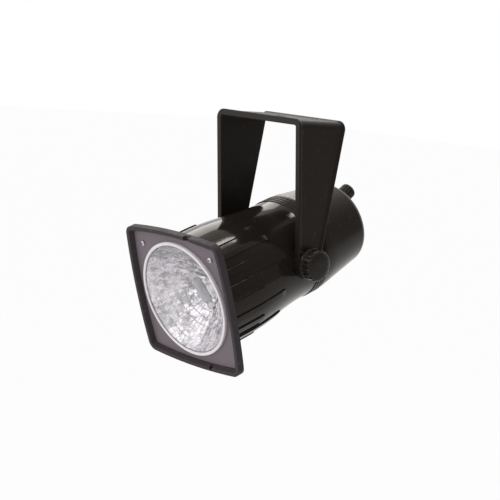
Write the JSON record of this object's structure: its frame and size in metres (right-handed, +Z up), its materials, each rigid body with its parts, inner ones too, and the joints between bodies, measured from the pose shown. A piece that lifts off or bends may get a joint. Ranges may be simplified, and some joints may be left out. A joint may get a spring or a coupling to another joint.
{
  "type": "stage spot light",
  "caption": "Yoke-hung stage spot: square front frame with a round lens, ribbed tapered barrel and bell-shaped rear casing with a cable gland, tilting in a U yoke clamped by side knobs.",
  "frame": {"origin": "centre of the clamp hole on the top face of the yoke", "axes": "+Z up along the clamp hole, -Y to the front where the beam leaves, X across the yoke along the tilt axis"},
  "size_m": [0.1562, 0.2549, 0.2561],
  "materials": {
    "yoke_black": "satin black moulding",
    "frame_black": "satin dark moulding",
    "face_grey": "grey satin paint",
    "bright_steel": "zinc plated",
    "ring_white": "gloss white moulding",
    "clear_glass": "clear pressed glass",
    "mirror_bowl": "hammered bright metal film",
    "lead_steel": "drawn wire",
    "brass": "turned",
    "rubber": "matt",
    "wire_red": "heat-proof sleeving",
    "barrel_black": "gloss black moulding",
    "ring_black": "satin black moulding",
    "casing_black": "semi-gloss black moulding",
    "plate_steel": "zinc plated sheet",
    "core_iron": "varnished steel sheets",
    "coil_wrap": "taped copper winding",
    "terminal_white": "moulded",
    "gland_black": "moulded",
    "knob_black": "gloss black moulding"
  },
  "bodies": {
    "yoke": {"yoke": "yoke_black"},
    "head": {"front_frame": "frame_black", "face_plate": "face_grey", "face_screws": "bright_steel", "lens_ring": "ring_white", "lamp_lens": "clear_glass", "lamp_reflector": "mirror_bowl", "lamp_capsule": "clear_glass", "lamp_filament": "lead_steel", "lamp_leads": "lead_steel", "lamp_terminals": "brass", "lamp_gasket": "rubber", "lamp_wires": "wire_red", "front_barrel": "barrel_black", "right_insert": "brass", "left_insert": "brass", "neck_ring": "ring_black", "rear_casing": "casing_black", "casing_screws": "bright_steel", "chassis_plate": "plate_steel", "chassis_screws": "bright_steel", "chassis_posts": "plate_steel", "transformer_core": "core_iron", "transformer_coil": "coil_wrap", "transformer_strap": "plate_steel", "strap_screws": "bright_steel", "terminal_block": "terminal_white", "gland_body": "gland_black", "gland_nut": "gland_black", "gland_seal": "rubber", "gland_locknut": "bright_steel", "right_disc": "rubber", "left_disc": "rubber"},
    "right_clamp": {"right_knob": "knob_black", "right_stud": "bright_steel", "right_washer": "bright_steel"},
    "left_clamp": {"left_knob": "knob_black", "left_stud": "bright_steel", "left_washer": "bright_steel"}
  },
  "joints": [
    {"name": "tilt", "type": "hinge", "parent": "yoke", "child": "head", "pos_m": [0, 0, -0.14427], "axis": [1, 0, 0], "range_deg": [-50, 70]},
    {"name": "right_knob_turn", "type": "hinge", "parent": "head", "child": "right_clamp", "pos_m": [0.07, 0, -0.14427], "axis": [1, 0, 0], "range_deg": [0, 540]},
    {"name": "left_knob_turn", "type": "hinge", "parent": "head", "child": "left_clamp", "pos_m": [-0.07, 0, -0.14427], "axis": [-1, 0, 0], "range_deg": [0, 540]}
  ]
}
